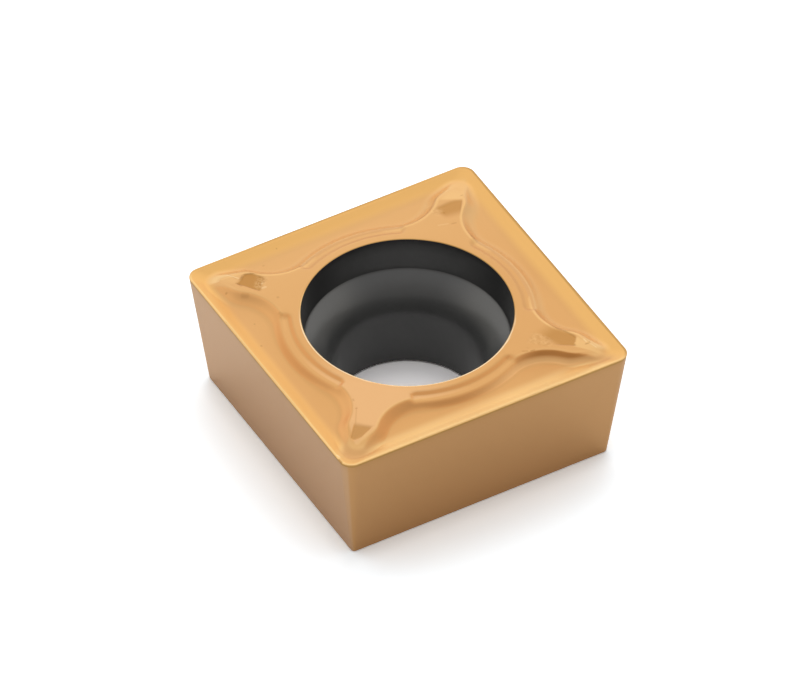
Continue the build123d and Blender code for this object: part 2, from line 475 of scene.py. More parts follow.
# Rings of the top face, as outlines over an eighth; their heights are worked out from their places

ISLAND_RINGS = 48
GROOVE_RINGS = 26
RIM_STEPS = (0.0, 0.012)
FIRST_STEP = 0.03
WALL_CROWDING = 1.25
WALL_STEPS = (0.0, 0.04, 0.10, 0.2, 0.35, 0.5, 0.65, 0.78, 0.9, 1.0)
LAND_STEPS = (0.0, 0.12, 0.5)


def top_outlines():
    """Outlines from the rim out: the island, its wall, the groove and rake, and the land."""
    rim = circle_eighth(rim_radius + RIM_ROUND)
    mouth = square_eighth(half_edge - LAND_WIDTH, NOSE_RADIUS - LAND_WIDTH)
    edge = square_eighth(half_edge, NOSE_RADIUS)
    spread = 1 - (1 - np.arange(ISLAND_RINGS) / ISLAND_RINGS) ** WALL_CROWDING
    island = [*RIM_STEPS, *(FIRST_STEP + (1 - FIRST_STEP) * spread)]
    outlines = [between(rim, star_side, t) for t in island]
    outlines += [star_side + wall_out * wall_run * t for t in WALL_STEPS]
    outlines += [between(wall_foot, mouth, k / GROOVE_RINGS) for k in range(1, GROOVE_RINGS)]
    return outlines + [between(mouth, edge, t) for t in LAND_STEPS]


# The other rings, as an outline over an eighth, a height and a material slot

GOLD, HOLE = 0, 1
HONE_STEPS = 5
FLANK_HEIGHTS = (3.92, 3.89, 3.86, 3.6, 3.0, 2.4, 1.6, 0.8, 0.15, 0.06, SEAT_ROUND)
SEAT_ROUND_STEPS = 3
SEAT_OUTER_INSET, SEAT_INNER_INSET = 0.06, 0.03
SEAT_STEPS = (0.0, 0.25, 0.5, 0.75, 0.92, 1.0)
CHAMFER_HEIGHTS = (0.004, 0.035, BORE_CHAMFER - 0.004)
CHAMFER_COATED = 0.01
BORE_HEIGHTS = (BORE_CHAMFER + 0.01, 0.13, 0.35, 0.7, 1.05, 1.4, bore_top - 0.15, bore_top)
REST_RINGS = 18
RECESS_RISES = (0.012, 0.03, 0.15, 0.35, 0.6, 0.85, RECESS_DEPTH - 0.07, RECESS_DEPTH - RIM_ROUND)
RIM_ROUND_STEPS = 3


def hone_rings():
    """The hone: an arc between the land and the flank."""
    hone_turn = math.pi / 2 + math.radians(RELIEF_ANGLE)
    hone_run = HONE_RADIUS * math.tan(hone_turn / 2)
    rings = []
    for k in range(HONE_STEPS + 1):
        turn = hone_turn * k / HONE_STEPS
        inset = hone_run - HONE_RADIUS * math.sin(turn)
        height = EDGE_HEIGHT - HONE_RADIUS * (1 - math.cos(turn))
        outline = square_eighth(half_edge - inset, max(NOSE_RADIUS - inset, LEAST_CORNER))
        rings.append((outline, height, GOLD))
    return rings


def flank_rings():
    """The flanks, from under the hone down."""
    rings = []
    for height in FLANK_HEIGHTS:
        t = 1 - height / EDGE_HEIGHT
        outline = square_eighth(between(half_edge, half_seat, t), between(NOSE_RADIUS, FOOT_RADIUS, t))
        rings.append((outline, height, GOLD))
    return rings


def seat_rings():
    """The round from the flanks to the seat, and the seat in to the hole."""
    rings = []
    for k in range(1, SEAT_ROUND_STEPS + 1):
        turn = math.pi / 2 * k / SEAT_ROUND_STEPS
        inset = SEAT_ROUND * (1 - math.cos(turn))
        outline = square_eighth(half_seat - inset, max(FOOT_RADIUS - inset, LEAST_CORNER))
        rings.append((outline, SEAT_ROUND * (1 - math.sin(turn)), GOLD))
    outer = square_eighth(half_seat - SEAT_OUTER_INSET, FOOT_RADIUS)
    inner = circle_eighth(BORE_RADIUS + BORE_CHAMFER + SEAT_INNER_INSET)
    rings += [(between(outer, inner, t), 0.0, GOLD) for t in SEAT_STEPS]
    return rings + [(circle_eighth(BORE_RADIUS + BORE_CHAMFER), 0.0, GOLD)]


def hole_rings():
    """The hole, from the seat up: chamfer, bore, rounded rest, recess and the rim's round."""
    rings = []
    for height in CHAMFER_HEIGHTS:
        zone = GOLD if height < CHAMFER_COATED else HOLE
        rings.append((circle_eighth(BORE_RADIUS + BORE_CHAMFER - height), height, zone))
    rings += [(circle_eighth(BORE_RADIUS), height, HOLE) for height in BORE_HEIGHTS]
    for k in range(1, REST_RINGS + 1):
        turn = rest_sweep * k / REST_RINGS
        radius = BORE_RADIUS + HEAD_REST_RADIUS * (1 - math.cos(turn))
        rings.append((circle_eighth(radius), bore_top + HEAD_REST_RADIUS * math.sin(turn), HOLE))
    draft = math.tan(math.radians(RECESS_DRAFT))
    for rise in RECESS_RISES:
        rings.append((circle_eighth(recess_floor_radius + rise * draft), recess_floor + rise, HOLE))
    for k in range(1, RIM_ROUND_STEPS):
        turn = math.pi / 2 * k / RIM_ROUND_STEPS
        radius = rim_radius + RIM_ROUND * (1 - math.cos(turn))
        rings.append((circle_eighth(radius), island_top - RIM_ROUND * (1 - math.sin(turn)), GOLD))
    return rings


# Mesh: the rings are joined in order, and the last to the first

top_rings = top_outlines()
lower_rings = hone_rings() + flank_rings() + seat_rings() + hole_rings()
top = slice(0, len(top_rings))
lower = slice(len(top_rings), len(top_rings) + len(lower_rings))
plan = np.stack([all_round(outline) for outline in top_rings + [ring[0] for ring in lower_rings]])
zones = np.array([GOLD] * len(top_rings) + [ring[2] for ring in lower_rings])
shape = plan.shape[:2]
x, y = plan[:, :, 0], plan[:, :, 1]
at = top_places(x[top], y[top], all_round(wall_out))
heights = np.zeros(shape)
heights[top] = top_height(at)
heights[lower] = np.array([ring[1] for ring in lower_rings])[:, None]


def joined_rings():
    """Mesh of quads between each ring and the next, with a material slot for each."""
    points = np.concatenate([plan, heights[:, :, None]], 2).reshape(-1, 3)
    indices = np.arange(heights.size).reshape(shape)
    following = np.roll(indices, -1, axis=0)
    faces = np.stack([indices, following, np.roll(following, -1, axis=1), np.roll(indices, -1, axis=1)], 2)
    made = bpy.data.meshes.new("insert_body_dressed")
    made.from_pydata((points * MM).tolist(), [], faces.reshape(-1, 4).tolist())
    made.validate()
    face_zone = np.repeat(np.maximum(zones, np.roll(zones, -1)), shape[1]).astype(np.int32)
    made.polygons.foreach_set("material_index", face_zone)
    made.polygons.foreach_set("use_smooth", np.ones(len(made.polygons), bool))
    return made


def tilt_of(mesh):
    """How far each point's ground is tilted: 0 where it is level, 1 where it is upright."""
    normals = np.zeros(len(mesh.vertices) * 3, np.float32)
    mesh.vertices.foreach_get("normal", normals)
    return 1 - normals.reshape(-1, 3)[:, 2].reshape(shape)


mesh = joined_rings()
insert = bpy.data.objects.new("insert_dressed", mesh)
bpy.context.scene.collection.objects.link(insert)


# Tints: how strong each tone of the coating is at each point, from 0 to 1. A pair of values runs
# from where a tint ends to where it is full, and four values are a strip. The last word of a
# name says what they measure: IN is in from the land, OUT is outside the island's outline,
# ALONG is along an arm, DROP and RISE are heights, TURN is a direction, and CORNER is the lesser
# of a point's distances from the two axes

EDGE_BAND_IN = (0.55, 0.22)
LAND_IN = (0.02, -0.01)
LAND_ON_HONE = 0.4
FAR_EDGE = (-0.03, 0.03)
FAR_STRENGTH_RIGHT, FAR_STRENGTH_LEFT = 0.8, 0.35
FAR_TURN = (-0.4, 0.4)
UNDER_EDGE_DROP = (0.015, 0.03, 0.06, 0.13)
FLANK_DROP = (0.02, 0.05)
SIDE_TURN = (-0.05, 0.05)

STEEP_TILT = (0.05, 0.17)
STEEP_OUT = (0.60, 0.45)
WALL_LOW_OUT = (0.09, 0.19)
WALL_LOW_X = (-0.5, 1.5)
WALL_DARK_OUT = (0.18, 0.09)
WALL_DARK_X = (1.0, 2.2)
WALL_DARK_ALONG = (3.4, 4.2, 5.2, 5.7)

BACK_WALL_OUT = (-0.005, 0.03, 0.15, 0.48)
BACK_WALL_TURN = (-0.2, 0.5)
BACK_WALL_LEAST = 0.6
BACK_CREST_OUT = (-0.05, -0.01, 0.05, 0.12)
BACK_CREST_FADE = 0.75
BACK_CREST_ALONG = (3.3, 3.9)
CREST_SHADOW = 0.45
CREST_SHADOW_OUT = (0.015, 0.04, 0.07, 0.13)
CREST_SHADOW_ALONG = (2.9, 3.6, 4.9, 5.5)
CREST_SHADOW_TURN = (-0.2, 0.15)

FRONT_TURN = (-0.2, 0.3)
FRONT_LEFT_SHIFT = 0.6
FRONT_RAKE_WIDE_IN, FRONT_RAKE_NEAR_IN = (0.75, 0.40), (0.42, 0.25)
FRONT_RAKE_BLEND = 0.5
FRONT_RAKE_CORNER = (3.7, 4.5)
FRONT_RAKE_FADE = 0.9
FRONT_NOSE_CORNER = (3.1, 4.1)
FRONT_NOSE_EDGE_IN, FRONT_NOSE_DEEP_IN = (0.02, 0.10), (0.12, 0.30)
FRONT_NOSE_EDGE_SHARE = 0.25
FRONT_NOSE_OUT = (0.06, 0.22)
FRONT_PAD_OUT = (0.0, -0.06)
FRONT_PAD_REACH = (2.3, 3.4)
RIDGE_OUT = (-0.10, -0.04, -0.01, 0.02)
RIDGE_ALONG = (2.9, 3.6)

RIM_LINE_OFFSET = 0.6
RIM_LINE_WIDTH = (1.2, 0.8)
RIM_LINE_DROP = (0.05, 0.03)
RIM_LINE_TURN = (0.1, -0.35)
RECESS_FROM = 0.006
RECESS_DARK = 0.9
RECESS_DARK_DROP = (0.32, 0.12)
RECESS_DARK_TURN = (0.96, 0.45)
REST_LIGHT_RISE = (0.45, 0.85)
REST_LIGHT_TURN = (-0.2, 0.2, 0.65, 0.95)


def rough_share(at):
    """How speckled the ground is."""
    rough = np.zeros(at.x.shape)
    for corner, strength, area in SPECKLED:
        along, across = arm_frame(at.x, at.y, corner)
        inside = np.where(along > ARM_GROUND, inside_edges(along, across, area), 0)
        rough = np.maximum(rough, strength * inside)
    return rough


def arm_tints(at):
    """The pockets, the tips of the arms that are worn brighter, and the painted highlight along their ridges.
    """
    pocket = np.zeros(at.x.shape)
    rubbed_and_ridge_highlight = np.zeros(at.x.shape)
    ridge_highlight = strip(at.outside, *RIDGE_OUT) * ease(at.along_arm, *RIDGE_ALONG)
    for corner in POCKETS:
        along, across = arm_frame(at.x, at.y, corner)
        pocket = np.maximum(pocket, POCKET_SHARE[corner] * pocket_mask(along, across, corner))
        tip = RUBBED_SHARE[corner] * inside_edges(along, across, RUBBED[corner])
        right_side, left_side = RIDGE_HIGHLIGHTS[corner]
        edge = ridge_highlight * np.where(across < 0, right_side, left_side)
        rubbed_and_ridge_highlight = np.where(along > ARM_GROUND, np.maximum(tip, edge), rubbed_and_ridge_highlight)
    return {"pocket": pocket, "rubbed_and_ridge_highlight": rubbed_and_ridge_highlight * (1 - pocket), "rough": rough_share(at)}


def wall_tints(at, tilt):
    """The steep wall of the island, in front, at the back and where it is worn, with a painted reflection of
    the gold around it, painted highlights at its foot and at the back, and painted shade under the arms and
    along its crest.
    """
    steep = ease(tilt, *STEEP_TILT) * ease(at.outside, *STEEP_OUT) * (1 - at.back)
    wall_foot_highlight = steep * ease(at.outside, *WALL_LOW_OUT) * ease(at.x, *WALL_LOW_X) * (1 - at.worn)
    under_arm = strip(at.along_arm, *WALL_DARK_ALONG) * ease(at.x, *WALL_DARK_X)
    back_turn = between(BACK_WALL_LEAST, 1.0, ease(at.faces_y, *BACK_WALL_TURN))
    crest_fade = 1 - BACK_CREST_FADE * ease(at.along_arm, *BACK_CREST_ALONG)
    shadow = CREST_SHADOW * strip(at.outside, *CREST_SHADOW_OUT) * strip(at.along_arm, *CREST_SHADOW_ALONG)
    return {
        "steep": steep,
        "worn_wall": steep * at.worn,
        "wall_foot_highlight": wall_foot_highlight,
        "wall_shade": steep * ease(at.outside, *WALL_DARK_OUT) * under_arm,
        "back_wall_light": strip(at.outside, *BACK_WALL_OUT) * at.back * back_turn,
        "back_crest_shade": strip(at.outside, *BACK_CREST_OUT) * at.back * crest_fade,
        "crest_shadow": shadow * at.back * ease(at.faces_y, *CREST_SHADOW_TURN),
    }


def front_tints(at):
    """The rake face of the side that faces -Y, with a painted highlight, its ends at the noses, and the front
    arm's flat.
    """
    left_shift = np.where(at.x < 0, FRONT_LEFT_SHIFT, 0.0)
    front = ease(-at.y - np.abs(at.x) + left_shift, *FRONT_TURN)
    to_corner = np.minimum(np.abs(at.x), np.abs(at.y))
    wide, near = ease(at.inside_land, *FRONT_RAKE_WIDE_IN), ease(at.inside_land, *FRONT_RAKE_NEAR_IN)
    rake = between(wide, near, FRONT_RAKE_BLEND)
    edge, deep = ease(at.inside_land, *FRONT_NOSE_EDGE_IN), ease(at.inside_land, *FRONT_NOSE_DEEP_IN)
    nose = between(deep, edge, FRONT_NOSE_EDGE_SHARE)
    towards_front = -(at.x + at.y) / math.sqrt(2)
    return {
        "front_rake_highlight": front * rake * (1 - FRONT_RAKE_FADE * ease(to_corner, *FRONT_RAKE_CORNER)),
        "front_nose": front * ease(to_corner, *FRONT_NOSE_CORNER) * nose * ease(at.outside, *FRONT_NOSE_OUT),
        "front_pad": ease(at.outside, *FRONT_PAD_OUT) * ease(towards_front, *FRONT_PAD_REACH),
    }


def flank_tints():
    """The flanks and the seat, darker partly by their own ground tone and partly by painted shade, and of
    these the two flanks that face along X, which carry a painted reflection that makes them lighter and
    cooler.
    """
    flank = ease(EDGE_HEIGHT - heights[lower], *FLANK_DROP)
    side = ease(np.abs(x[lower]) - np.abs(y[lower]), *SIDE_TURN)
    return {"flank": flank, "side_flank_reflection": side * flank * ease(heights[lower], 0.0, SEAT_ROUND)}


def edge_tints():
    """The paler band inside the cutting edge, a painted highlight on the land, and painted shade: a dark line
    below the cutting edge and on the far land. The round of the rim counts as land."""
    drop = EDGE_HEIGHT - heights[lower]
    band = np.ones(shape)
    band[top] = ease(at.inside_land, *EDGE_BAND_IN)
    land = np.zeros(shape)
    land[top] = ease(at.inside_land, *LAND_IN)
    land[lower] = drop < HONE_RADIUS * LAND_ON_HONE
    edge_shade = np.zeros(shape)
    edge_shade[lower] = strip(drop, *UNDER_EDGE_DROP)
    far_land = ease((x + y) / EDGE_LENGTH, *FAR_EDGE)
    far_strength = between(FAR_STRENGTH_RIGHT, FAR_STRENGTH_LEFT, ease(y - x, *FAR_TURN))
    edge_shade = np.maximum(edge_shade, land * far_land * far_strength)
    return {"edge_band": band, "land": land * (1 - far_land), "edge_shade": edge_shade}


def rim_tints():
    """Painted highlight: the bright line on the near side of the hole's rim."""
    off_line = np.abs(np.hypot(x, y) - rim_radius - RIM_LINE_OFFSET * RIM_ROUND)
    on_rim = ease(off_line, *(width * RIM_ROUND for width in RIM_LINE_WIDTH))
    level = np.ones(shape)
    level[lower] = ease(heights[lower], *(island_top - drop for drop in RIM_LINE_DROP))
    return {"rim_highlight": on_rim * level * ease(towards_back(x, y), *RIM_LINE_TURN)}


def hole_tints(rows):
    """Painted shade on the wall of the recess, and a painted highlight on the rounded rest."""
    height = heights[rows]
    turn = towards_back(x[rows], y[rows])
    in_recess = height > recess_floor + RECESS_FROM
    under_rim = ease(height, *(island_top - drop for drop in RECESS_DARK_DROP))
    on_rest = ease(height, *(bore_top + rise for rise in REST_LIGHT_RISE))
    return {
        "recess_shade": RECESS_DARK * in_recess * np.maximum(under_rim, ease(turn, *RECESS_DARK_TURN)),
        "rest_highlight": on_rest * ~in_recess * strip(turn, *REST_LIGHT_TURN),
    }


def store_tints(rows, tints):
    """Put tints on the mesh as attributes, with no strength outside their rings."""
    for name, values in tints.items():
        strengths = np.zeros(shape, np.float32)
        strengths[rows] = values
        mesh.attributes.new(name, "FLOAT", "POINT").data.foreach_set("value", strengths.ravel())


store_tints(top, arm_tints(at))
store_tints(top, wall_tints(at, tilt_of(mesh)[top]))
store_tints(top, front_tints(at))
store_tints(lower, flank_tints())
store_tints(slice(None), edge_tints())
store_tints(slice(None), rim_tints())
store_tints(zones == HOLE, hole_tints(zones == HOLE))
mesh.update()


# Nodes of the materials and the sky

def feed(tree, socket, value):
    """Link an output to an input, or set the input's own value."""
    if isinstance(value, bpy.types.NodeSocket):
        tree.links.new(value, socket)
    else:
        socket.default_value = value


def mixed(tree, strength, first, second):
    """A colour between two colours, each an output or a colour of its own."""
    node = tree.nodes.new("ShaderNodeMix")
    node.data_type = "RGBA"
    feed(tree, node.inputs[0], strength)
    for number, colour in ((6, first), (7, second)):
        feed(tree, node.inputs[number], colour if isinstance(colour, bpy.types.NodeSocket) else (*colour, 1))
    return node.outputs[2]


def ranged(tree, value, start, end, least=0.0, most=1.0):
    """A value that runs from the least to the most as another runs from start to end."""
    node = tree.nodes.new("ShaderNodeMapRange")
    for name, limit in (("From Min", start), ("From Max", end), ("To Min", least), ("To Max", most)):
        node.inputs[name].default_value = limit
    feed(tree, node.inputs["Value"], value)
    return node.outputs["Result"]


def calculated(tree, operation, first, second):
    """Two numbers brought together by an operation."""
    node = tree.nodes.new("ShaderNodeMath")
    node.operation = operation
    feed(tree, node.inputs[0], first)
    feed(tree, node.inputs[1], second)
    return node.outputs[0]


def vector_node(tree, operation, *values):
    """A vector operation, as a node; a length or a dot product is its output called Value."""
    node = tree.nodes.new("ShaderNodeVectorMath")
    node.operation = operation
    for socket, value in zip(node.inputs, values):
        feed(tree, socket, value)
    return node


def part_of(tree, vector, axis):
    """One part of a vector: X, Y or Z."""
    node = tree.nodes.new("ShaderNodeSeparateXYZ")
    tree.links.new(vector, node.inputs[0])
    return node.outputs[axis]


def noise(tree, place, scale, detail):
    """Noise from 0 to 1 over the places of the points."""
    node = tree.nodes.new("ShaderNodeTexNoise")
    node.inputs["Scale"].default_value = scale
    node.inputs["Detail"].default_value = detail
    tree.links.new(place, node.inputs["Vector"])
    return node.outputs["Fac"]


def tinted(tree, colour, tones):
    """A colour with tones mixed over it in turn, each as strong as the mesh's tint of its name."""
    for name, tone in tones:
        strength = tree.nodes.new("ShaderNodeAttribute")
        strength.attribute_name = name
        colour = mixed(tree, strength.outputs["Fac"], colour, tone)
    return colour


def new_tree(owner, output_kind):
    """Empty tree of nodes of a material or a world, with its output."""
    owner.use_nodes = True
    owner.node_tree.nodes.clear()
    return owner.node_tree, owner.node_tree.nodes.new(output_kind)


def surface(name, metallic, roughness):
    """New material, its tree, its shader and the place of a point."""
    material = bpy.data.materials.new(name)
    tree, output = new_tree(material, "ShaderNodeOutputMaterial")
    shader = tree.nodes.new("ShaderNodeBsdfPrincipled")
    shader.inputs["Metallic"].default_value = metallic
    shader.inputs["Roughness"].default_value = roughness
    tree.links.new(shader.outputs["BSDF"], output.inputs["Surface"])
    return material, tree, shader, tree.nodes.new("ShaderNodeNewGeometry")


GRAIN_HEIGHT = 0.01


def add_grain(tree, shader, place, scale, detail, strength):
    """Fine bumps of the pressed surface."""
    bump = tree.nodes.new("ShaderNodeBump")
    bump.inputs["Strength"].default_value = strength
    bump.inputs["Distance"].default_value = GRAIN_HEIGHT * MM
    tree.links.new(noise(tree, place.outputs["Position"], scale, detail), bump.inputs["Height"])
    tree.links.new(bump.outputs["Normal"], shader.inputs["Normal"])


# Pits and scratches: two ends, half width and strength. The ends are given on an arm, along and
# across it, or by their place on the plan

def stroke(corner, start, end, half_width, strength):
    """A mark between two points of an arm."""
    return arm_point(corner, *start), arm_point(corner, *end), half_width, strength


def spot(corner, along, across, radius, strength):
    """A round mark at one point of an arm."""
    return stroke(corner, (along, across), (along, across), radius, strength)


STROKE_CORE = 0.3
MARKS_UP = (0.10, 0.35)
MARK_DARK = (0.42, 0.18, 0.04)
MARK_LIGHT = (0.98, 0.74, 0.42)
DARK_MARKS = [
    ((-3.96, 2.01), (-3.96, 2.01), 0.040, 0.40),
    ((-4.25, 1.09), (-4.25, 1.09), 0.045, 0.48),
    ((-1.86, 4.43), (-1.86, 4.43), 0.035, 0.35),
    ((-2.53, 4.04), (-2.50, 4.05), 0.045, 0.22),
    ((-1.46, 3.34), (-1.46, 3.34), 0.040, 0.25),
    spot(L_ARM, 5.33, 0.46, 0.050, 0.42),
    spot(L_ARM, 3.79, 0.39, 0.055, 0.36),
    stroke(L_ARM, (4.81, 0.51), (4.68, 0.49), 0.090, 0.20),
    stroke(L_ARM, (3.57, 1.00), (3.50, 1.04), 0.070, 0.25),
    stroke(L_ARM, (4.46, -0.02), (4.42, 0.00), 0.040, 0.60),
    spot(L_ARM, 4.36, -0.14, 0.035, 0.50),
    stroke(L_ARM, (5.48, -0.28), (5.18, -0.08), 0.020, 0.22),
    stroke(L_ARM, (5.29, -0.49), (5.24, -0.46), 0.030, 0.32),
    stroke(L_ARM, (5.12, 0.10), (4.96, 0.18), 0.050, 0.40),
    stroke(R_ARM, (5.38, 0.17), (5.31, 0.09), 0.028, 0.45),
    stroke(R_ARM, (5.41, 0.21), (5.38, 0.24), 0.022, 0.35),
    stroke(R_ARM, (3.77, -0.70), (3.66, -0.74), 0.050, 0.30),
    stroke(R_ARM, (3.96, -0.60), (3.88, -0.66), 0.035, 0.40),
    stroke(T_ARM, (3.97, -0.27), (4.04, -0.37), 0.040, 0.28),
    stroke(T_ARM, (3.66, -0.96), (3.58, -1.04), 0.075, 0.34),
    spot(T_ARM, 4.39, 0.08, 0.045, 0.40),
    stroke(T_ARM, (5.31, -0.23), (5.26, -0.20), 0.035, 0.28),
    spot(F_ARM, 4.31, -0.36, 0.050, 0.50),
    stroke(F_ARM, (3.97, -0.55), (4.02, -0.52), 0.040, 0.30),
    stroke(F_ARM, (4.34, -0.35), (4.90, -0.22), 0.030, 0.22),
    stroke(F_ARM, (6.49, -0.22), (6.42, -0.30), 0.060, 0.65),
]
LIGHT_MARKS = [
    stroke(L_ARM, (5.64, -0.28), (5.12, -0.12), 0.026, 0.45),
    spot(L_ARM, 4.40, -0.06, 0.035, 0.55),
    spot(L_ARM, 4.50, -0.08, 0.025, 0.45),
    stroke(L_ARM, (4.33, 0.12), (4.26, 0.06), 0.060, 0.35),
    stroke(T_ARM, (3.94, -0.16), (3.80, 0.10), 0.026, 0.22),
    stroke(R_ARM, (5.30, 0.20), (5.22, 0.26), 0.035, 0.45),
    stroke(R_ARM, (5.44, 0.18), (5.62, 0.12), 0.026, 0.40),
    stroke(F_ARM, (6.28, -0.32), (6.24, -0.40), 0.040, 0.70),
]


def stroke_mask(tree, flat_place, start, end, half_width, strength):
    """Mask of a round-ended stroke on the top face, strong along its middle."""
    start = Vector((*start, 0)) * MM
    run = Vector((*end, 0)) * MM - start
    off_stroke = vector_node(tree, "SUBTRACT", flat_place, start)
    if run.length:
        direction = run.normalized()
        along = vector_node(tree, "DOT_PRODUCT", off_stroke.outputs[0], direction)
        limited = tree.nodes.new("ShaderNodeClamp")
        limited.inputs["Max"].default_value = run.length
        tree.links.new(along.outputs["Value"], limited.inputs["Value"])
        nearest = vector_node(tree, "SCALE", direction)
        tree.links.new(limited.outputs[0], nearest.inputs["Scale"])
        off_stroke = vector_node(tree, "SUBTRACT", off_stroke.outputs[0], nearest.outputs[0])
    distance = vector_node(tree, "LENGTH", off_stroke.outputs[0]).outputs["Value"]
    return ranged(tree, distance, half_width * MM, half_width * STROKE_CORE * MM, most=strength)


def marked(tree, colour, place):
    """A colour with the pits and scratches over it, on ground that faces up."""
    flat_place = vector_node(tree, "MULTIPLY", place.outputs["Position"], (1, 1, 0)).outputs[0]
    on_top = ranged(tree, part_of(tree, place.outputs["Normal"], "Z"), *MARKS_UP)
    for tone, strokes in ((MARK_DARK, DARK_MARKS), (MARK_LIGHT, LIGHT_MARKS)):
        masks = [stroke_mask(tree, flat_place, *each) for each in strokes]
        total = masks[0]
        for mask in masks[1:]:
            total = calculated(tree, "MAXIMUM", total, mask)
        colour = mixed(tree, calculated(tree, "MULTIPLY", total, on_top), colour, tone)
    return colour


# Materials: the tones go over each other in the order of these lists. A noise has a scale and
# a detail, and a grain has the strength of its bumps too

BROAD_NOISE = (420.0, 4.0)
BROAD_TONES = ((0.700, 0.372, 0.134), (0.750, 0.412, 0.152))
# Painted sheen: the coating turns lighter towards the back, where the light behind the insert falls on it
PAINTED_SHEEN_TONE = (0.800, 0.475, 0.200)
PAINTED_SHEEN_REACH, PAINTED_SHEEN_STRENGTH = 5.5, 0.6
COATING_TONES = [
    ("edge_band", (0.890, 0.510, 0.168)),
    # Flanks and seat: a darker tone, partly their own ground finish and partly painted shade
    ("flank", (0.590, 0.318, 0.125)),
    # Painted reflection: the two flanks that face along X are lighter and cooler
    ("side_flank_reflection", (0.605, 0.360, 0.183)),
    ("front_pad", (0.800, 0.462, 0.205)),
    # Painted highlight on the rake face of the side that faces -Y
    ("front_rake_highlight", (0.985, 0.700, 0.315)),
    # Painted reflection: steep walls darker and more orange, as if lit by the gold around them
    ("steep", (0.775, 0.372, 0.125)),
    ("worn_wall", (0.86, 0.460, 0.170)),
    # Painted highlight at the foot of the walls on the +X side
    ("wall_foot_highlight", (0.96, 0.55, 0.225)),
    # Painted shade on the upper walls of the arms on the +X side
    ("wall_shade", (0.57, 0.245, 0.066)),
    # Painted light: the walls that face the back are lighter
    ("back_wall_light", (0.88, 0.585, 0.27)),
    # Painted shade along the crest of the walls that face the back
    ("back_crest_shade", (0.70, 0.385, 0.155)),
    ("front_nose", (0.70, 0.385, 0.150)),
    ("crest_shadow", (0.62, 0.36, 0.165)),
    ("pocket", (0.54, 0.262, 0.070)),
    # Tips of the arms worn brighter, and a painted highlight along the ridges of their edges
    ("rubbed_and_ridge_highlight", (0.86, 0.53, 0.215)),
    # Painted highlight on the near side of the hole's rim
    ("rim_highlight", (0.96, 0.75, 0.49)),
    # Painted highlight on the land and hone of the near sides, and on the rim's round
    ("land", (0.92, 0.60, 0.25)),
    # Painted shade: a dark line below the cutting edge and along the far land
    ("edge_shade", (0.47, 0.25, 0.065)),
]
SPECKLE_NOISE = (10500.0, 2.0)
SPECKLE_TONES = ((0.50, 0.245, 0.07), (0.90, 0.60, 0.28))
SPECKLE_RANGE = (0.38, 0.66)
COATING_GRAIN = (22000.0, 3.0, 0.12)
CARBIDE_NOISE = (900.0, 4.0)
CARBIDE_TONES = ((0.092, 0.093, 0.092), (0.122, 0.122, 0.120))
# Painted shade in the recess and a painted highlight on the rest
HOLE_SHADE_AND_HIGHLIGHT_TONES = [("recess_shade", (0.030, 0.030, 0.031)), ("rest_highlight", (0.165, 0.163, 0.155))]
CARBIDE_GRAIN = (16000.0, 2.0, 0.15)


def coating():
    """Satin gold-coloured coating on pressed carbide: a broad tone, with a painted sheen that makes it
    lighter towards the back, then the tints, of which many are painted light and shade, the speckled ground
    and the marks."""
    material, tree, shader, place = surface("gold_coating", metallic=0.85, roughness=0.42)
    position = place.outputs["Position"]
    colour = mixed(tree, noise(tree, position, *BROAD_NOISE), *BROAD_TONES)
    painted_sheen = ranged(tree, part_of(tree, position, "Y"), 0.0, PAINTED_SHEEN_REACH * MM, most=PAINTED_SHEEN_STRENGTH)
    colour = tinted(tree, mixed(tree, painted_sheen, colour, PAINTED_SHEEN_TONE), COATING_TONES)
    speckle = ranged(tree, noise(tree, position, *SPECKLE_NOISE), *SPECKLE_RANGE)
    colour = tinted(tree, colour, [("rough", mixed(tree, speckle, *SPECKLE_TONES))])
    tree.links.new(marked(tree, colour, place), shader.inputs["Base Color"])
    add_grain(tree, shader, place, *COATING_GRAIN)
    return material


def bare_carbide():
    """Near-black semi-gloss carbide inside the hole, with painted shade in the recess and a painted highlight
    on the rest.
    """
    material, tree, shader, place = surface("bare_carbide", metallic=0.25, roughness=0.31)
    colour = mixed(tree, noise(tree, place.outputs["Position"], *CARBIDE_NOISE), *CARBIDE_TONES)
    tree.links.new(tinted(tree, colour, HOLE_SHADE_AND_HIGHLIGHT_TONES), shader.inputs["Base Color"])
    add_grain(tree, shader, place, *CARBIDE_GRAIN)
    return material


insert.data.materials.append(coating())
insert.data.materials.append(bare_carbide())
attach(insert, "root")
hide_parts("insert_body")


# Floor: white, with a painted contact shadow where it touches the insert, and its own tone in the hole. It
# is dimmer to rays that only light the insert, and less so to its reflections

FLOOR_SIZE = 0.6
FLOOR_UNSEEN = (0.55, 0.55, 0.55)
FLOOR_IN_HOLE = (1.74, 1.71, 1.72)
# Painted contact shadow on the floor around the foot of the insert
FLOOR_CONTACT_SHADOW = (1.33, 1.44, 1.52)
FLOOR_OPEN = (1.56, 1.67, 1.76)
FLOOR_REFLECTED = 0.55
CONTACT_SHADOW_FADE = 0.55
HOLE_FADE = (2.5, 4.0)


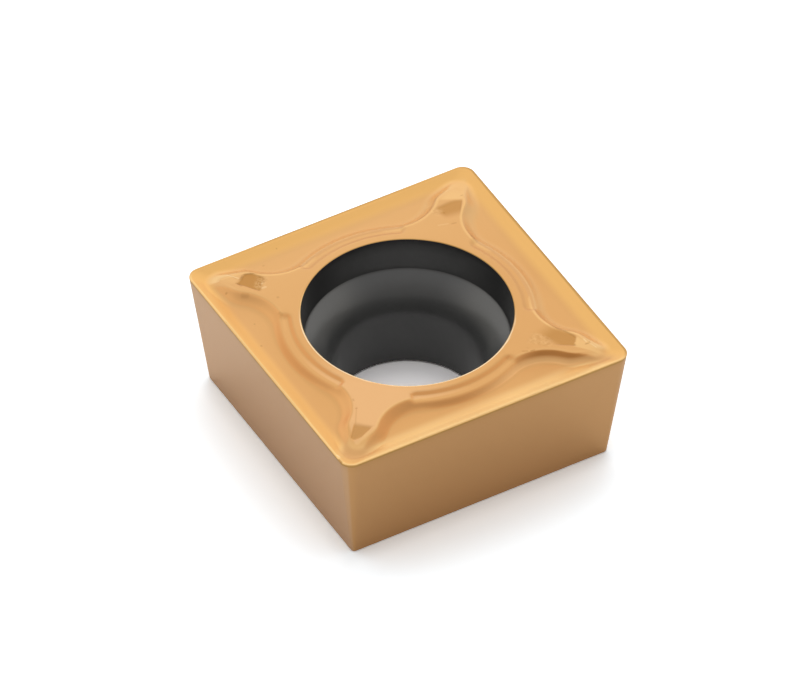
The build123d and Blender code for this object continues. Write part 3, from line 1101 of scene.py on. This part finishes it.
def floor_white():
    """White of the floor, by place and by the kind of ray."""
    material = bpy.data.materials.new("floor_white")
    tree, output = new_tree(material, "ShaderNodeOutputMaterial")
    place = tree.nodes.new("ShaderNodeNewGeometry").outputs["Position"]
    spread = vector_node(tree, "ABSOLUTE", place).outputs["Vector"]
    from_middle = calculated(tree, "MAXIMUM", part_of(tree, spread, "X"), part_of(tree, spread, "Y"))
    off_contact_shadow = ranged(tree, from_middle, half_seat * MM, (half_seat + CONTACT_SHADOW_FADE) * MM)
    from_axis = vector_node(tree, "LENGTH", place).outputs["Value"]
    outside_hole = ranged(tree, from_axis, *(limit * MM for limit in HOLE_FADE))
    seen_tone = mixed(tree, outside_hole, FLOOR_IN_HOLE, mixed(tree, off_contact_shadow, FLOOR_CONTACT_SHADOW, FLOOR_OPEN))
    path = tree.nodes.new("ShaderNodeLightPath")
    reflected = calculated(tree, "MULTIPLY", path.outputs["Is Glossy Ray"], FLOOR_REFLECTED)
    seen = calculated(tree, "MAXIMUM", path.outputs["Is Camera Ray"], reflected)
    diffuse = tree.nodes.new("ShaderNodeBsdfDiffuse")
    tree.links.new(mixed(tree, seen, FLOOR_UNSEEN, seen_tone), diffuse.inputs["Color"])
    tree.links.new(diffuse.outputs["BSDF"], output.inputs["Surface"])
    return material


def flat_floor(name, size):
    """Square floor at the height of the seat, in metres."""
    half = size / 2
    corners = [(-half, -half, 0), (half, -half, 0), (half, half, 0), (-half, half, 0)]
    floor_mesh = bpy.data.meshes.new(name)
    floor_mesh.from_pydata(corners, [], [(0, 1, 2, 3)])
    floor_mesh.materials.append(floor_white())
    made = bpy.data.objects.new(name, floor_mesh)
    bpy.context.scene.collection.objects.link(made)
    return made


floor = flat_floor("floor", FLOOR_SIZE)


# Light: a sky that is bright behind the insert, warmer where it is dark, and two softboxes

SKY_AXIS = (0.35, 0.75, 0.56)
SKY_DARK, SKY_BRIGHT = 0.42, 1.0
SKY_TURN = (-0.3, 0.65)
SKY_WARM, SKY_WHITE = (1.0, 0.97, 0.94), (1.0, 1.0, 1.0)


def studio_sky():
    """Sky whose strength and tone run from the dark side to the bright one."""
    world = bpy.data.worlds.new("studio")
    tree, output = new_tree(world, "ShaderNodeOutputWorld")
    direction = tree.nodes.new("ShaderNodeTexCoord").outputs["Generated"]
    toward = vector_node(tree, "DOT_PRODUCT", direction, Vector(SKY_AXIS).normalized()).outputs["Value"]
    tone = tree.nodes.new("ShaderNodeMapRange")
    tone.data_type = "FLOAT_VECTOR"
    tree.links.new(toward, tone.inputs[6])
    limits = ((SKY_TURN[0],) * 3, (SKY_TURN[1],) * 3, SKY_WARM, SKY_WHITE)
    for number, limit in enumerate(limits, start=7):
        tone.inputs[number].default_value = limit
    background = tree.nodes.new("ShaderNodeBackground")
    tree.links.new(tone.outputs[1], background.inputs["Color"])
    strength = ranged(tree, toward, *SKY_TURN, least=SKY_DARK, most=SKY_BRIGHT)
    tree.links.new(strength, background.inputs["Strength"])
    tree.links.new(background.outputs["Background"], output.inputs["Surface"])
    return world


def area_lamp(name, place, size, energy):
    """Square lamp that points at the insert."""
    lamp = bpy.data.objects.new(name, bpy.data.lights.new(name, "AREA"))
    bpy.context.scene.collection.objects.link(lamp)
    lamp.data.shape = "SQUARE"
    lamp.data.size = size
    lamp.data.energy = energy
    lamp.location = place
    lamp.rotation_euler = (-Vector(place)).to_track_quat("-Z", "Y").to_euler()
    return lamp


bpy.context.scene.world = studio_sky()
area_lamp("back_softbox", place=(0.17, 0.27, 0.22), size=0.30, energy=0.05)
high_softbox = area_lamp("high_softbox", place=(0.072, 0.116, 0.376), size=0.14, energy=0.10)
high_softbox.visible_glossy = False


# Camera, fitted to the corners of the insert in the photograph

IMAGE_WIDTH = 812
FOCAL_PIXELS = 13736.67
SHIFT_PIXELS = (-1.4767, 37.6375)
SENSOR_WIDTH = 36
CAMERA_AZIMUTH = -29.858
CAMERA_ELEVATION = 43.206
CAMERA_DISTANCE = 0.4
CAMERA_AIM = (0, 0, 0.0015)


def photo_camera():
    """Camera turned to face the aim point, and moved sideways and up by the shift."""
    azimuth, elevation = math.radians(CAMERA_AZIMUTH), math.radians(CAMERA_ELEVATION)
    level = math.cos(elevation)
    away = Vector((math.sin(azimuth) * level, -math.cos(azimuth) * level, math.sin(elevation)))
    right = Vector((math.cos(azimuth), math.sin(azimuth), 0))
    up = away.cross(right)
    pixel = CAMERA_DISTANCE / FOCAL_PIXELS
    camera = bpy.data.objects.new("camera", bpy.data.cameras.new("camera"))
    bpy.context.scene.collection.objects.link(camera)
    camera.data.sensor_width = SENSOR_WIDTH
    camera.data.lens = FOCAL_PIXELS * SENSOR_WIDTH / IMAGE_WIDTH
    shift = right * SHIFT_PIXELS[0] * pixel + up * SHIFT_PIXELS[1] * pixel
    camera.location = Vector(CAMERA_AIM) + away * CAMERA_DISTANCE + shift
    camera.rotation_euler = (-away).to_track_quat("-Z", "Y").to_euler()
    camera.data.clip_start = 0.01
    camera.data.clip_end = 10
    return camera


bpy.context.scene.camera = photo_camera()
bpy.context.scene.view_settings.view_transform = "Standard"
